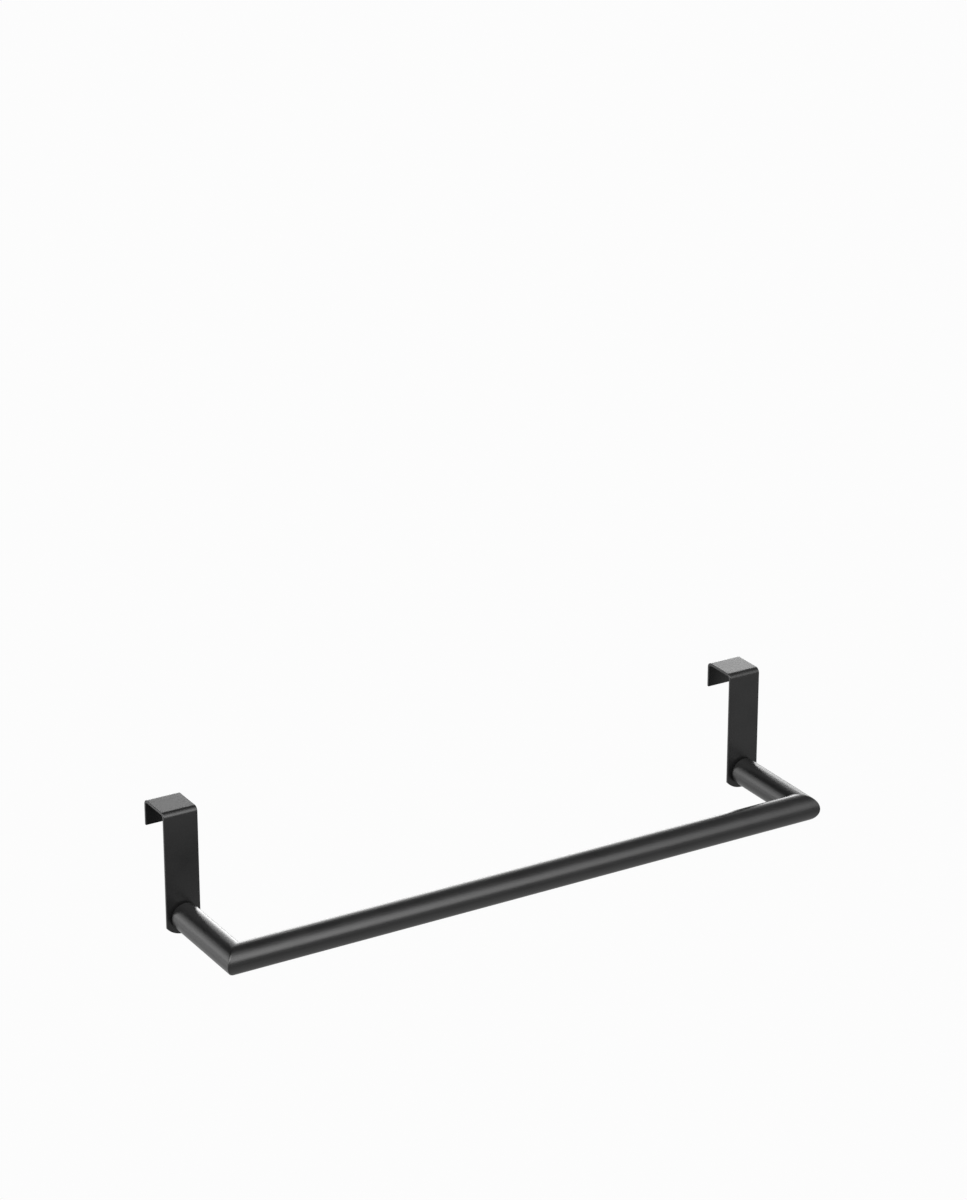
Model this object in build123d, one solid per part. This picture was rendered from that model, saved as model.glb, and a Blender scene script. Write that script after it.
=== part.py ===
from build123d import *
import os
from math import cos, pi, sin, sqrt

# Side towel rail that hangs over the top edge of an upright panel.
# Two folded strip hooks carry a round tube rail with mitred corners.
#
# Frame: +Z up, +X along the bar, the bar stands out towards -Y.
# Origin: midway between the hooks, on the corner of the panel that the hooks
# sit on: y = 0 is the panel's side face, z = 0 is the panel's top edge.
# All lengths are in millimetres.

# ---- driving dimensions ----
overall_length = 375.0      # outside of one mitred corner to the other
tube_d = 16.0               # rail tube, outside diameter
tube_wall = 1.5             # rail tube, wall
axis_out = 60.0             # bar axis in front of the panel's side face
axis_down = 60.0            # tube axes below the panel's top edge
mitre_round = 1.0           # rounding of the dressed mitre edges
tube_end_chamfer = 0.3      # edge break at a tube's rear end
end_gap = 1.5               # dark joint between a tube's rear end and its plate

strip_w = 20.0              # hook strip, width
strip_t = 1.5               # hook strip, thickness
bend_ri = 1.5               # inside radius of both folds
hook_gap = 20.0             # clear width of the hook, plate to lip
lip_h = 15.0                # outside height of the rear lip
plate_low = 70.5            # lowest point of the plate below the panel's top edge
plate_arc_r = 13.0          # radius of the arc at the plate's lower end
edge_r = 0.3                # rounding of the strip's edges

screw_r = 2.5               # M5 countersunk screw
head_r = 5.0                # countersink radius at the plate's back face, 90 degree cone
head_below = 0.1            # head sits this far below the back face
screw_len = 14.0            # back face to tip
hex_af = 3.0                # hexagon socket across flats
hex_depth = 1.5
plug_len = 14.0             # tapped plug, from the plate into the tube's end

# ---- derived ----
R = tube_d / 2
r_in = R - tube_wall
xa = overall_length / 2 - R          # arm axes at x = -xa and x = +xa
bend_ro = bend_ri + strip_t
arc_cz = -plate_low + plate_arc_r    # centre height of the plate's lower arc
corner_z = arc_cz - sqrt(plate_arc_r ** 2 - (strip_w / 2) ** 2)


def hook(xc):
    """Folded strip: plate in front of the panel, flat top, lip behind it."""
    # side profile, drawn flat with x = row Y and y = row Z
    prof = make_face(Polyline(
        (-strip_t, -plate_low - 5),
        (-strip_t, strip_t),
        (hook_gap + strip_t, strip_t),
        (hook_gap + strip_t, strip_t - lip_h),
        (hook_gap, strip_t - lip_h),
        (hook_gap, 0),
        (0, 0),
        (0, -plate_low - 5),
        close=True,
    ))
    prof = fillet([v for v in prof.vertices() if abs(v.Y - strip_t) < 1e-6], bend_ro)
    prof = fillet([v for v in prof.vertices()
                   if abs(v.Y) < 1e-6 and (abs(v.X) < 1e-6 or abs(v.X - hook_gap) < 1e-6)], bend_ri)
    body = extrude(Plane.YZ * prof, amount=strip_w / 2, both=True)
    # lower end of the plate, cut to a shallow arc
    blank = Pos(0, -strip_t / 2, (corner_z - plate_low - 20) / 2) * Box(
        strip_w + 2, strip_t + 4, abs(-plate_low - 20 - corner_z))
    keep = Pos(0, 0, arc_cz) * Rot(90, 0, 0) * Cylinder(plate_arc_r, 40)
    body = body - (blank - keep)
    # edge rounding all round the strip
    side = [e for f in body.faces().filter_by(Axis.X) for e in f.edges()]
    ends = [e for e in body.edges()
            if abs(abs(e.center().X)) < 1e-6
            and (e.center().Z < -plate_low + 1e-3 or abs(e.center().Z - (strip_t - lip_h)) < 1e-6)]
    body = fillet(side + ends, edge_r)
    # countersunk screw hole, 90 degrees, through the plate
    cone = Pos(0, -strip_t / 2, -axis_down) * Rot(90, 0, 0) * Cone(head_r, head_r - strip_t, strip_t)
    body = body - cone
    return Pos(xc, 0, 0) * body


def mitre_ellipse(cx, cy, sx):
    """Mitre section of the tube, in the upright plane across the corner."""
    pl = Plane(origin=(cx, cy, -axis_down), x_dir=(sx, -1, 0), z_dir=(sx, 1, 0))
    return (pl * Ellipse(R * sqrt(2), R)).faces()[0]


def corner_half(sx, for_bar):
    """One half of a dressed corner: the mitre section carried, without turning,
    along an eighth of a circle of the rounding radius."""
    c = mitre_round
    first = 0.0 if for_bar else pi / 4
    sections = []
    for i in range(5):
        a = first + (pi / 4) * i / 4
        sections.append(mitre_ellipse(sx * (xa - c + c * sin(a)), -axis_out + c - c * cos(a), sx))
    return loft(sections)


def half_space(cx, cy, nx, ny):
    """Large block on the side (nx, ny) of the upright plane through (cx, cy)."""
    pl = Plane(origin=(cx, cy, -axis_down), x_dir=(0, 0, 1), z_dir=(nx, ny, 0))
    return extrude(pl * Rectangle(400, 2000), amount=1000)


def front_bar():
    c = mitre_round
    rod = Pos(0, -axis_out, -axis_down) * Rot(0, 90, 0) * Cylinder(R, overall_length + 40)
    bore = Pos(0, -axis_out, -axis_down) * Rot(0, 90, 0) * Cylinder(r_in, overall_length + 40)
    for sx in (-1, 1):
        rod = rod - half_space(sx * (xa - c), -axis_out, sx, 1)
        bore = bore - half_space(sx * xa, -axis_out, sx, 1)
    body = rod
    for sx in (-1, 1):
        body = body + corner_half(sx, True)
    return body - bore


def arm(sx):
    c = mitre_round
    y_back = -strip_t - end_gap
    length = axis_out + 30
    mid_y = y_back - length / 2
    rod = Pos(sx * xa, mid_y, -axis_down) * Rot(90, 0, 0) * Cylinder(R, length)
    bore = Pos(sx * xa, mid_y, -axis_down) * Rot(90, 0, 0) * Cylinder(r_in, length)
    back = [e for e in rod.edges().filter_by(GeomType.CIRCLE) if abs(e.center().Y - y_back) < 1e-6]
    rod = chamfer(back, tube_end_chamfer)
    rod = rod - half_space(sx * xa, -axis_out + c, -sx, -1)
    bore = bore - half_space(sx * xa, -axis_out, -sx, -1)
    return rod + corner_half(sx, False) - bore


def plug(sx):
    """Turned plug, tapped for the screw: it stands on the plate, bridges the joint
    as a collar and fills the arm's rear end."""
    y_back = -strip_t
    body = Pos(0, y_back - plug_len / 2, 0) * Rot(90, 0, 0) * Cylinder(r_in, plug_len)
    front = [e for e in body.edges().filter_by(GeomType.CIRCLE) if abs(e.center().Y - (y_back - plug_len)) < 1e-6]
    body = chamfer(front, 0.8)
    body = body - Pos(0, y_back - plug_len / 2, 0) * Rot(90, 0, 0) * Cylinder(screw_r, plug_len + 2)
    h = head_r - strip_t - screw_r      # countersink carried on into the plug
    body = body - Pos(0, y_back - h / 2, 0) * Rot(90, 0, 0) * Cone(head_r - strip_t, screw_r, h)
    return Pos(sx * xa, 0, -axis_down) * body


def screw(sx):
    """Countersunk screw from the back of the plate, hexagon socket towards +Y."""
    with BuildPart() as p:
        with BuildSketch(Plane.XY):
            with BuildLine():
                Polyline(
                    (0, -head_below),
                    (head_r - head_below, -head_below),
                    (screw_r, -(head_r - screw_r)),
                    (screw_r, -screw_len + 0.6),
                    (screw_r - 0.6, -screw_len),
                    (0, -screw_len),
                    close=True,
                )
            make_face()
        revolve(axis=Axis.Y)
    body = p.part
    key = Plane(origin=(0, -head_below, 0), x_dir=(1, 0, 0), z_dir=(0, 1, 0)) * RegularPolygon(
        hex_af / 2, 6, major_radius=False)
    body = body - extrude(key, amount=-hex_depth)
    return Pos(sx * xa, 0, -axis_down) * body


nodes = {
    "left_hook": hook(-xa),
    "right_hook": hook(xa),
    "left_arm": arm(-1),
    "right_arm": arm(1),
    "front_bar": front_bar(),
    "left_end_plug": plug(-1),
    "right_end_plug": plug(1),
    "hook_screws": Compound(children=[screw(-1), screw(1)]),
}

os.makedirs("parts", exist_ok=True)
for name, shape in nodes.items():
    export_step(shape, os.path.join("parts", name + ".step"))
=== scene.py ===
import math

import bmesh
import bpy
from mathutils import Matrix, Vector


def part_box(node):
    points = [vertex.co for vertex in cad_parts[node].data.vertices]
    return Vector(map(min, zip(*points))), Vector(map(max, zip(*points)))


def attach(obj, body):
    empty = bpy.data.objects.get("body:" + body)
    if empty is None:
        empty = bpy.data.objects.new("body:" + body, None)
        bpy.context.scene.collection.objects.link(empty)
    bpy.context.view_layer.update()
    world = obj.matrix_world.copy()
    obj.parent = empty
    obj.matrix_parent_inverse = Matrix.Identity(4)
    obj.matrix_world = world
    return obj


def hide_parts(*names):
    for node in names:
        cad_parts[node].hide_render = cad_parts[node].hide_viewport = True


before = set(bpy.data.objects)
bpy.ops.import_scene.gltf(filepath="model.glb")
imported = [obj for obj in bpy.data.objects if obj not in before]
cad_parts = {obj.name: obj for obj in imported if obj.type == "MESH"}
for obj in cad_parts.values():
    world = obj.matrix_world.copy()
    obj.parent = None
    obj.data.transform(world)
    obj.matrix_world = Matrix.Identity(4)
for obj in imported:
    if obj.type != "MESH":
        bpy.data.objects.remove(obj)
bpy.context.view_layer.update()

# ---------------------------------------------------------------- dimensions
# Millimetres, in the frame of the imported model. The boxes of the nodes are
# compared with them below, so a changed model stops the script.
MM = 0.001
R = 8.0                 # tube, outside radius
R_IN = 6.5              # tube, bore radius
XA = 179.5              # arm axes at x = -XA and +XA
OUT = 60.0              # bar axis in front of the plates' back faces
DOWN = 60.0             # tube axes below the hooks' seats
MITRE = 1.0             # rounding of the mitre edges
END_BREAK = 0.3         # edge break at an arm's rear end
JOINT = 1.5             # dark joint between an arm's rear end and its plate
W = 20.0                # strip width
T = 1.5                 # strip thickness
RI = 1.5                # inside bend radius
GAP = 20.0              # clear width of a hook
LIP = 15.0              # outside height of the lip
LOW = 70.5              # lowest point of a plate
ARC = 13.0              # radius of a plate's lower end
EDGE = 0.3              # rounding of the strip's edges
HEAD_R = 5.0            # countersink at the plate's back face


def expect(node, lo, hi):
    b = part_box(node)
    for k in range(3):
        if abs(b[0][k] - lo[k] * MM) > 1.2e-4 or abs(b[1][k] - hi[k] * MM) > 1.2e-4:
            raise RuntimeError("the packed node " + node + " has another size: " + str(b))


for sx, side in ((-1, "left"), (1, "right")):
    expect(side + "_hook", (sx * XA - W / 2, -T, -LOW), (sx * XA + W / 2, GAP + T, T))
cut = MITRE * (1 - math.sqrt(0.5))
for sx, side in ((-1, "left"), (1, "right")):
    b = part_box(side + "_arm")
    if abs(b[1][1] + (T + JOINT) * MM) > 1.2e-4:
        raise RuntimeError("the packed arm ends elsewhere: " + str(b))
expect("front_bar", (-XA - R + cut, -OUT - R, -DOWN - R), (XA + R - cut, -OUT + R + cut, -DOWN + R))


# ---------------------------------------------------------------- camera
cam_data = bpy.data.cameras.new("camera")
cam_data.sensor_fit = "AUTO"
cam_data.sensor_width = 36.0
cam_data.lens = 118.05
cam_data.clip_start = 0.01
cam_data.clip_end = 100.0
cam = bpy.data.objects.new("camera", cam_data)
bpy.context.scene.collection.objects.link(cam)
right = Vector((0.85781, -0.51398, 0.0)).normalized()
look = Vector((0.47584, 0.79416, -0.37802)).normalized()
up = right.cross(look).normalized()
right = look.cross(up).normalized()
cam.matrix_world = Matrix((
    (right.x, up.x, -look.x, -1.0054),
    (right.y, up.y, -look.y, -1.6897),
    (right.z, up.z, -look.z, 0.8856),
    (0, 0, 0, 1),
))
bpy.context.scene.camera = cam


# ---------------------------------------------------------------- materials
def new_material(name):
    m = bpy.data.materials.new(name)
    m.use_nodes = True
    nt = m.node_tree
    nt.nodes.clear()
    out = nt.nodes.new("ShaderNodeOutputMaterial")
    bsdf = nt.nodes.new("ShaderNodeBsdfPrincipled")
    nt.links.new(bsdf.outputs["BSDF"], out.inputs["Surface"])
    coord = nt.nodes.new("ShaderNodeTexCoord")
    return m, nt, bsdf, coord


def noise(nt, coord, scale, detail, rough, offset=(0, 0, 0), stretch=(1, 1, 1)):
    mp = nt.nodes.new("ShaderNodeMapping")
    mp.inputs["Location"].default_value = offset
    mp.inputs["Scale"].default_value = stretch
    nt.links.new(coord.outputs["Object"], mp.inputs["Vector"])
    n = nt.nodes.new("ShaderNodeTexNoise")
    n.inputs["Scale"].default_value = scale
    n.inputs["Detail"].default_value = detail
    n.inputs["Roughness"].default_value = rough
    nt.links.new(mp.outputs["Vector"], n.inputs["Vector"])
    return n


def spread(nt, socket, lo, hi, a=0.3, b=0.7):
    r = nt.nodes.new("ShaderNodeMapRange")
    r.inputs["From Min"].default_value = a
    r.inputs["From Max"].default_value = b
    r.inputs["To Min"].default_value = lo
    r.inputs["To Max"].default_value = hi
    nt.links.new(socket, r.inputs["Value"])
    return r.outputs["Result"]


def ramp(nt, socket, stops):
    r = nt.nodes.new("ShaderNodeValToRGB")
    e = r.color_ramp.elements
    while len(e) < len(stops):
        e.new(0.5)
    for k, (pos, col) in enumerate(stops):
        e[k].position = pos
        e[k].color = (col[0], col[1], col[2], 1.0)
    nt.links.new(socket, r.inputs["Fac"])
    return r.outputs["Color"]


def powder_coat(name, seed):
    """Fine matt powder coat: close grain, a soft orange peel and a little cloudiness."""
    m, nt, bsdf, coord = new_material(name)
    grain = noise(nt, coord, 3200.0, 2.0, 0.55, (seed, 0.1, 0.2))
    peel = noise(nt, coord, 620.0, 1.0, 0.4, (0.3, seed, 0.1))
    cloud = noise(nt, coord, 55.0, 3.0, 0.5, (0.2, 0.4, seed))
    mix = nt.nodes.new("ShaderNodeMix")
    mix.data_type = "FLOAT"
    mix.inputs["Factor"].default_value = 0.35
    nt.links.new(cloud.outputs["Fac"], mix.inputs["A"])
    nt.links.new(grain.outputs["Fac"], mix.inputs["B"])
    nt.links.new(
        ramp(nt, mix.outputs["Result"], [(0.3, (0.0045, 0.0045, 0.0046)), (0.7, (0.0075, 0.0075, 0.0076))]),
        bsdf.inputs["Base Color"])
    nt.links.new(spread(nt, mix.outputs["Result"], 0.27, 0.33), bsdf.inputs["Roughness"])
    bsdf.inputs["Metallic"].default_value = 0.0
    bsdf.inputs["IOR"].default_value = 1.5
    b1 = nt.nodes.new("ShaderNodeBump")
    b1.inputs["Strength"].default_value = 0.15
    b1.inputs["Distance"].default_value = 0.00006
    nt.links.new(peel.outputs["Fac"], b1.inputs["Height"])
    b2 = nt.nodes.new("ShaderNodeBump")
    b2.inputs["Strength"].default_value = 0.12
    b2.inputs["Distance"].default_value = 0.00002
    nt.links.new(grain.outputs["Fac"], b2.inputs["Height"])
    nt.links.new(b1.outputs["Normal"], b2.inputs["Normal"])
    nt.links.new(b2.outputs["Normal"], bsdf.inputs["Normal"])
    return m


def steel(name, dark, light, rough_lo, rough_hi, stretch):
    m, nt, bsdf, coord = new_material(name)
    lines = noise(nt, coord, 900.0, 3.0, 0.6, (0.1, 0.2, 0.3), stretch)
    stain = noise(nt, coord, 140.0, 3.0, 0.55, (0.5, 0.1, 0.7))
    nt.links.new(ramp(nt, stain.outputs["Fac"], [(0.3, dark), (0.7, light)]), bsdf.inputs["Base Color"])
    nt.links.new(spread(nt, lines.outputs["Fac"], rough_lo, rough_hi), bsdf.inputs["Roughness"])
    bsdf.inputs["Metallic"].default_value = 1.0
    b = nt.nodes.new("ShaderNodeBump")
    b.inputs["Strength"].default_value = 0.2
    b.inputs["Distance"].default_value = 0.00002
    nt.links.new(lines.outputs["Fac"], b.inputs["Height"])
    nt.links.new(b.outputs["Normal"], bsdf.inputs["Normal"])
    return m


tube_coat = powder_coat("tube_powder_coat", 0.0)
hook_coat = powder_coat("hook_powder_coat", 0.7)
black_oxide = steel("black_oxide", (0.045, 0.045, 0.048), (0.075, 0.075, 0.08), 0.34, 0.5, (1, 1, 1))
turned_oxide = steel("turned_black_oxide", (0.03, 0.03, 0.032), (0.05, 0.05, 0.053), 0.38, 0.55, (0.2, 4.0, 0.2))


# ---------------------------------------------------------------- mesh helpers
def make_piece(name, verts, faces, material, slot, *nodes):
    me = bpy.data.meshes.new(name)
    me.from_pydata([(v[0] * MM, v[1] * MM, v[2] * MM) for v in verts], [], faces)
    bm = bmesh.new()
    bm.from_mesh(me)
    bmesh.ops.remove_doubles(bm, verts=bm.verts, dist=1e-7)
    bmesh.ops.recalc_face_normals(bm, faces=bm.faces)
    bm.to_mesh(me)
    bm.free()
    me.shade_smooth()
    me.set_sharp_from_angle(angle=math.radians(32))
    me.materials.append(material)
    ob = bpy.data.objects.new(name, me)
    bpy.context.scene.collection.objects.link(ob)
    wn = ob.modifiers.new("weighted_normal", "WEIGHTED_NORMAL")
    wn.keep_sharp = True
    wn.weight = 50
    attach(ob, "root")
    if nodes:
        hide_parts(*nodes)
    return ob


class Rings:
    """Collects rings of points and the quads between neighbouring rings."""

    def __init__(self):
        self.v, self.f = [], []

    def ring(self, pts):
        start = len(self.v)
        self.v.extend(pts)
        return list(range(start, start + len(pts)))

    def skin(self, a, b, closed=True):
        n = len(a)
        for i in range(n if closed else n - 1):
            j = (i + 1) % n
            quad = [a[i], a[j], b[j], b[i]]
            self.f.append(quad)


def steps(a, b, n):
    return [a + (b - a) * i / n for i in range(n + 1)]


# ---------------------------------------------------------------- tubes
AROUND = 128
SEAM = 0.01             # depth of the fine line where two mitres meet


def circle(r, k):
    t = 2 * math.pi * k / AROUND
    return r * math.cos(t), r * math.sin(t)


def corner_ring(sx, a, r):
    """Section of the tube of radius r in the dressed corner, a = 0 at the bar and 90 degrees at the arm."""
    pts = []
    for k in range(AROUND):
        u, z = circle(r, k)
        pts.append((sx * (XA + u - MITRE + MITRE * math.sin(a)),
                    -OUT - u + MITRE - MITRE * math.cos(a), -DOWN + z))
    return pts


def mitre_ring(sx, r):
    pts = []
    for k in range(AROUND):
        u, z = circle(r, k)
        pts.append((sx * (XA + u), -OUT - u, -DOWN + z))
    return pts


def bar_tube():
    m = Rings()
    q = math.pi / 4
    outer = []
    left = [m.ring(corner_ring(-1, q, R - SEAM))]
    left += [m.ring(corner_ring(-1, a, R)) for a in steps(q * 0.88, 0.0, 8)]
    rights = [m.ring(corner_ring(1, a, R)) for a in steps(0.0, q * 0.88, 8)]
    rights += [m.ring(corner_ring(1, q, R - SEAM))]
    mid = []
    for t in steps(0.0, 1.0, 40)[1:-1]:
        pts = []
        for k in range(AROUND):
            u, z = circle(R, k)
            e = XA + u - MITRE
            pts.append((-e + 2 * e * t, -OUT - u, -DOWN + z))
        mid.append(m.ring(pts))
    outer = left + mid + rights
    for a, b in zip(outer, outer[1:]):
        m.skin(a, b)
    in_l, in_r = m.ring(mitre_ring(-1, R_IN)), m.ring(mitre_ring(1, R_IN))
    m.skin(outer[-1], in_r)
    m.skin(in_r, in_l)
    m.skin(in_l, outer[0])
    return m


def arm_tube(sx):
    m = Rings()
    q = math.pi / 4

    def at(y, r):
        pts = []
        for k in range(AROUND):
            u, z = circle(r, k)
            pts.append((sx * (XA + u), y, -DOWN + z))
        return m.ring(pts)

    back = -T - JOINT
    rows = [at(back, R_IN)]
    # broken edge, rounded
    rows += [at(back - END_BREAK * (1 - math.cos(a)), R - END_BREAK + END_BREAK * math.sin(a))
             for a in steps(0, math.pi / 2, 5)]
    first = back - END_BREAK
    for t in steps(0.0, 1.0, 10)[1:-1]:
        pts = []
        for k in range(AROUND):
            u, z = circle(R, k)
            end = -OUT - u + MITRE
            pts.append((sx * (XA + u), first + (end - first) * t, -DOWN + z))
        rows.append(m.ring(pts))
    rows += [m.ring(corner_ring(sx, a, R)) for a in steps(2 * q, q * 1.12, 8)]
    rows += [m.ring(corner_ring(sx, q, R - SEAM)), m.ring(mitre_ring(sx, R_IN))]
    for a, b in zip(rows, rows[1:]):
        m.skin(a, b)
    m.skin(rows[-1], rows[0])
    return m


# ---------------------------------------------------------------- hooks
RO = RI + T
RM = RI + T / 2
S1 = LOW - RI                       # bend at the plate's top begins
S2 = S1 + RM * math.pi / 2
S3 = S2 + GAP - 2 * RI
S4 = S3 + RM * math.pi / 2
S5 = S4 + LIP - RO                  # end of the lip
S_ARC = ARC                         # centre of the lower arc, up the strip
S_HOLE = LOW - DOWN


def fold(x, s, n):
    """Point of the flat strip (x across, s along, n off its middle) on the folded hook."""
    if s <= S1:
        return x, -T / 2 - n, -LOW + s
    if s <= S2:
        a = (s - S1) / RM
        return x, RI - (RM + n) * math.cos(a), -RI + (RM + n) * math.sin(a)
    if s <= S3:
        return x, RI + s - S2, T / 2 + n
    if s <= S4:
        a = (s - S3) / RM
        return x, GAP - RI + (RM + n) * math.sin(a), -RI + (RM + n) * math.cos(a)
    return x, GAP + T / 2 + n, -RI - (s - S4)


def hook_strip(xc):
    m = Rings()
    xi = W / 2 - EDGE
    ai = ARC - EDGE
    s_c = S_ARC - math.sqrt(ai * ai - xi * xi)      # inset corner of the lower end
    tilt = math.atan2(xi, math.sqrt(ai * ai - xi * xi))
    s_top = S_HOLE + 14.0
    low_rows = steps(s_c, s_top, 10)
    high_rows = (low_rows[-1:] + steps(s_top, S1, 12)[1:] + steps(S1, S2, 14)[1:] + steps(S2, S3, 6)[1:]
                 + steps(S3, S4, 14)[1:] + steps(S4, S5 - EDGE, 5)[1:])
    sides = low_rows[:-1] + high_rows
    cols = steps(-xi, xi, 12)
    arc_n, corner_n = 24, 4

    def outline(d):
        r = EDGE - d
        pts = [(W / 2 - d, s) for s in sides]
        pts += [(xi + r * math.cos(a), S5 - EDGE + r * math.sin(a)) for a in steps(0, math.pi / 2, corner_n)[1:-1]]
        pts += [(x, S5 - d) for x in reversed(cols)]
        pts += [(-xi + r * math.cos(a), S5 - EDGE + r * math.sin(a)) for a in steps(math.pi / 2, math.pi, corner_n)[1:-1]]
        pts += [(-W / 2 + d, s) for s in reversed(sides)]
        low = math.pi / 2 - tilt                    # below the horizontal, to the inset corner
        pts += [(-xi + r * math.cos(a), s_c + r * math.sin(a))
                for a in steps(math.pi, math.pi + low, corner_n)[1:-1]]
        pts += [((ARC - d) * math.sin(b), S_ARC - (ARC - d) * math.cos(b)) for b in steps(-tilt, tilt, arc_n)]
        pts += [(xi + r * math.cos(a), s_c + r * math.sin(a)) for a in steps(-low, 0, corner_n)[1:-1]]
        return pts

    def put(pts, n):
        return m.ring([(xc + p[0], p[1], p[2]) for p in (fold(x, s, n) for x, s in pts)])

    h = T / 2
    band = []
    for a in steps(0, math.pi / 2, 5):
        band.append((EDGE * (1 - math.sin(a)), h - EDGE * (1 - math.cos(a))))
    band += [(d, -n) for d, n in reversed(band)]
    loops = [put(outline(d), n) for d, n in band]
    for a, b in zip(loops, loops[1:]):
        m.skin(a, b)

    # flat faces: rings round the screw hole, then rows up the strip
    region = ([(x, s_top) for x in reversed(cols)] + [(-xi, s) for s in reversed(low_rows)][1:]
              + [(ai * math.sin(b), S_ARC - ai * math.cos(b)) for b in steps(-tilt, tilt, arc_n)][1:]
              + [(xi, s) for s in low_rows][1:-1])

    for n, hole in ((h, HEAD_R - T), (-h, HEAD_R)):
        def toward(f):
            pts = []
            for x, s in region:
                a = math.atan2(s - S_HOLE, x)
                hx, hs = hole * math.cos(a), S_HOLE + hole * math.sin(a)
                pts.append((hx + (x - hx) * f, hs + (s - hs) * f))
            return pts

        rows = [put(toward(f), n) for f in (0.0, 0.12, 0.35, 0.65, 1.0)]
        for a, b in zip(rows, rows[1:]):
            m.skin(a, b)
        if n > 0:
            front_hole = rows[0]
        else:
            m.skin(front_hole, rows[0])
        grid = [put([(x, s) for x in cols], n) for s in high_rows]
        for a, b in zip(grid, grid[1:]):
            m.skin(a, b, closed=False)
    return m


# ---------------------------------------------------------------- screws
def screw_mesh(xc):
    m = Rings()
    n = 72
    head = -0.1

    def ringat(r, y):
        return m.ring([(xc + r * math.cos(2 * math.pi * k / n), y, -DOWN + r * math.sin(2 * math.pi * k / n))
                       for k in range(n)])

    def hexat(af, y):
        pts = []
        for k in range(n):
            a = 2 * math.pi * k / n
            b = (a + math.pi / 6) % (math.pi / 3) - math.pi / 6
            r = af / 2 / math.cos(b)
            pts.append((xc + r * math.cos(a), y, -DOWN + r * math.sin(a)))
        return m.ring(pts)

    rows = [ringat(0.0, head - 2.05), hexat(2.0, head - 1.65), hexat(3.0, head - 1.5), hexat(3.0, head - 0.16),
            hexat(3.3, head), ringat(2.2, head), ringat(4.5, head), ringat(4.68, head - 0.03), ringat(4.78, head - 0.12),
            ringat(2.5, head - 2.4), ringat(2.5, -13.4), ringat(1.9, -14.0), ringat(0.0, -14.0)]
    for a, b in zip(rows, rows[1:]):
        m.skin(a, b)
    return m


bar = bar_tube()
make_piece("front_bar_tube", bar.v, bar.f, tube_coat, "tube_coat", "front_bar")
for sx, side in ((-1, "left"), (1, "right")):
    a = arm_tube(sx)
    make_piece(side + "_arm_tube", a.v, a.f, tube_coat, "tube_coat", side + "_arm")
    hk = hook_strip(sx * XA)
    make_piece(side + "_hook_strip", hk.v, hk.f, hook_coat, "hook_coat", side + "_hook")
both = Rings()
for sx in (-1, 1):
    s = screw_mesh(sx * XA)
    base = len(both.v)
    both.v.extend(s.v)
    both.f.extend([[i + base for i in f] for f in s.f])
make_piece("hook_screw_pair", both.v, both.f, black_oxide, "screw_steel", "hook_screws")

for n in ("left_end_plug", "right_end_plug"):
    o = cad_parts[n]
    o.data.materials.clear()
    o.data.materials.append(turned_oxide)


# ---------------------------------------------------------------- stage and light
scene = bpy.context.scene
scene.view_settings.view_transform = "Standard"
scene.view_settings.look = "None"

# Seamless pale studio: a floor at the height that it has below a washstand, with a wide cove
# round it. Only the camera sees it, so that the softboxes alone shade the part.
FLOOR_Z = -0.85


def studio():
    prof = [(0.0, FLOOR_Z), (3.0, FLOOR_Z), (6.0, FLOOR_Z)]
    prof += [(6.0 + 3.0 * math.sin(a), FLOOR_Z + 3.0 - 3.0 * math.cos(a)) for a in steps(0, math.pi / 2, 12)[1:]]
    prof += [(9.0 * math.cos(a), FLOOR_Z + 3.0 + 9.0 * math.sin(a)) for a in steps(0, math.pi / 2, 16)[1:]]
    m = Rings()
    n = 64
    rows = [m.ring([(r * math.cos(2 * math.pi * k / n), r * math.sin(2 * math.pi * k / n), z) for k in range(n)])
            for r, z in prof]
    for a, b in zip(rows, rows[1:]):
        m.skin(a, b)
    me = bpy.data.meshes.new("studio_floor")
    me.from_pydata(m.v, [], m.f)
    ob = bpy.data.objects.new("studio_floor", me)
    scene.collection.objects.link(ob)
    mat = bpy.data.materials.new("pale_floor")
    mat.use_nodes = True
    nt = mat.node_tree
    nt.nodes.clear()
    out = nt.nodes.new("ShaderNodeOutputMaterial")
    glow = nt.nodes.new("ShaderNodeEmission")
    glow.inputs["Color"].default_value = (0.975, 0.975, 0.975, 1)
    glow.inputs["Strength"].default_value = 1.0
    nt.links.new(glow.outputs["Emission"], out.inputs["Surface"])
    me.materials.append(mat)
    ob.visible_diffuse = ob.visible_glossy = ob.visible_transmission = ob.visible_shadow = False


studio()

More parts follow.
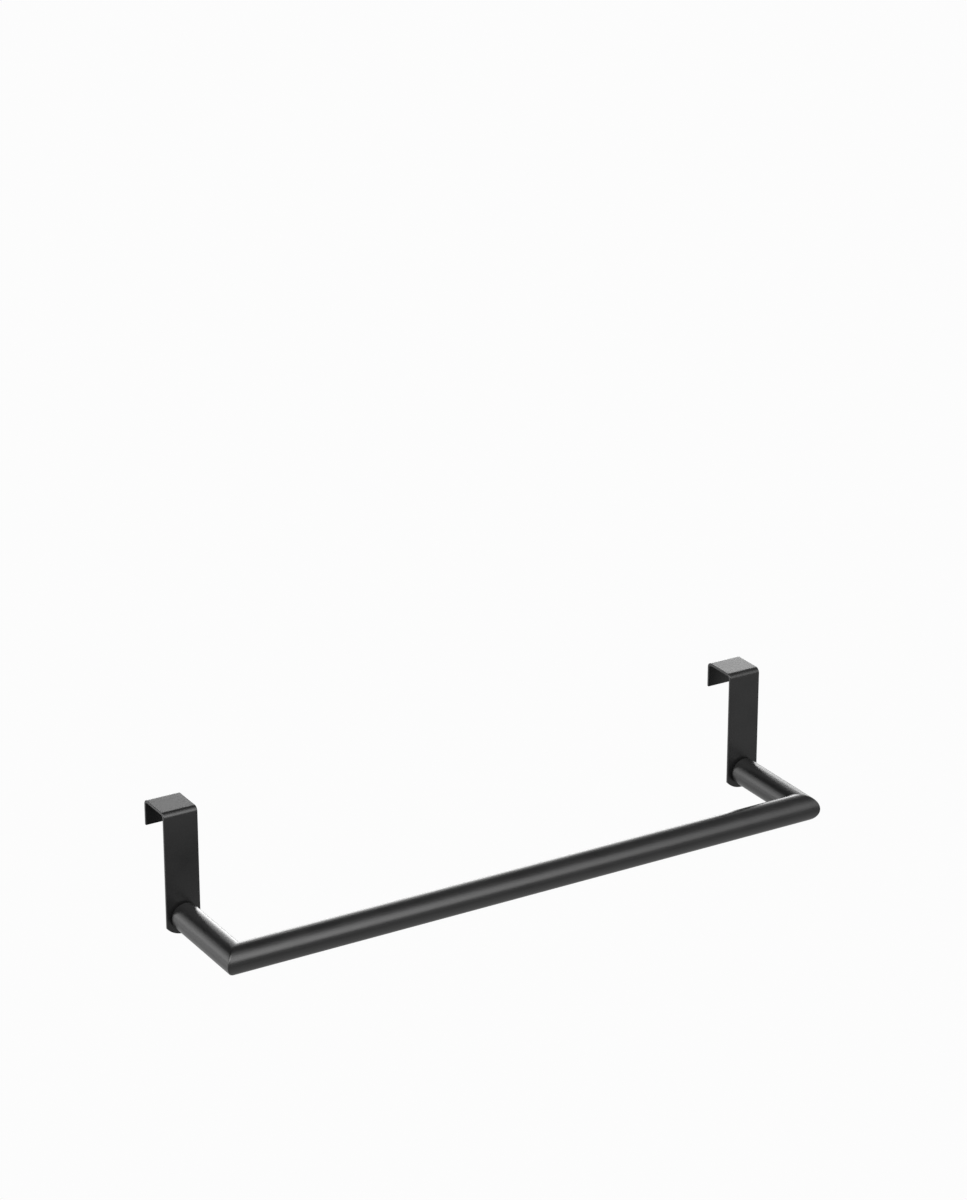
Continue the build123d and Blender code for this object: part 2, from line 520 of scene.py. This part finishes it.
# Dim surroundings: half-bright below the horizon, where the floor is, with a duller stretch of
# floor in front of the bar, and dark above it.
world = bpy.data.worlds.new("world")
scene.world = world
world.use_nodes = True
wt = world.node_tree
back = wt.nodes["Background"]
way = wt.nodes.new("ShaderNodeTexCoord")
parts = wt.nodes.new("ShaderNodeSeparateXYZ")
wt.links.new(way.outputs["Generated"], parts.inputs["Vector"])
height = spread(wt, parts.outputs["Z"], 0.0, 1.0, -1.0, 1.0)
depth = spread(wt, parts.outputs["Y"], 0.0, 1.0, -0.35, 0.35)
depth.node.interpolation_type = "SMOOTHSTEP"
blend = wt.nodes.new("ShaderNodeMix")
blend.data_type = "FLOAT"
wt.links.new(depth, blend.inputs["Factor"])
for end, knots in (
    ("A", ((-0.90, 0.70), (-0.64, 0.72), (-0.38, 0.40), (-0.14, 0.67), (0.10, 0.0))),
    ("B", ((-0.85, 0.47), (-0.50, 0.83), (-0.20, 0.55), (0.10, 0.0))),
):
    wt.links.new(ramp(wt, height, [(z / 2 + 0.5, (v, v, v)) for z, v in knots]), blend.inputs[end])
wt.links.new(blend.outputs["Result"], back.inputs["Color"])


def softbox(name, az, el, dist, w, h, radiance):
    """Soft area light that faces the part; azimuth 0 is in front of the bar and 90 towards +X."""
    a, e = math.radians(az), math.radians(el)
    place = Vector((math.cos(e) * math.sin(a), -math.cos(e) * math.cos(a), math.sin(e))) * dist
    d = bpy.data.lights.new(name, "AREA")
    d.shape = "RECTANGLE"
    d.size, d.size_y = w, h
    d.energy = radiance * math.pi * w * h
    o = bpy.data.objects.new(name, d)
    scene.collection.objects.link(o)
    o.location = place
    o.rotation_mode = "QUATERNION"
    o.rotation_quaternion = (-place).to_track_quat("-Z", "Y")
    o.visible_camera = False
    return o


for box in (
    ("front_box", 18.3, 27.1, 3.96, 2.46, 3.56, 2.75),
    ("front_strip", 22.0, 24.0, 3.60, 0.90, 1.60, 2.40),
    ("front_left_box", -16.8, 56.9, 3.93, 3.30, 2.83, 5.35),
    ("left_box", -69.0, 36.0, 3.60, 3.60, 3.20, 4.82),
    ("right_box", 76.0, 20.0, 3.60, 3.00, 2.40, 2.60),
    ("back_right_box", 150.0, 3.0, 3.60, 1.50, 1.80, 3.89),
    ("back_right_edge", 134.0, 8.0, 3.60, 1.40, 2.00, 2.33),
    ("back_right_high", 138.0, 30.0, 3.60, 1.60, 1.40, 0.86),
    ("back_right_low", 150.0, -20.0, 3.60, 1.30, 0.90, 0.30),
    ("back_high", 160.0, 28.0, 3.60, 1.40, 1.20, 1.55),
    ("back_left_box", 230.0, 14.0, 3.60, 2.20, 2.40, 1.88),
    ("back_left_low", 232.0, -4.0, 3.60, 2.40, 2.60, 1.03),
    ("right_high_box", 83.2, 45.0, 3.54, 6.66, 3.47, 0.15),
):
    softbox(*box)
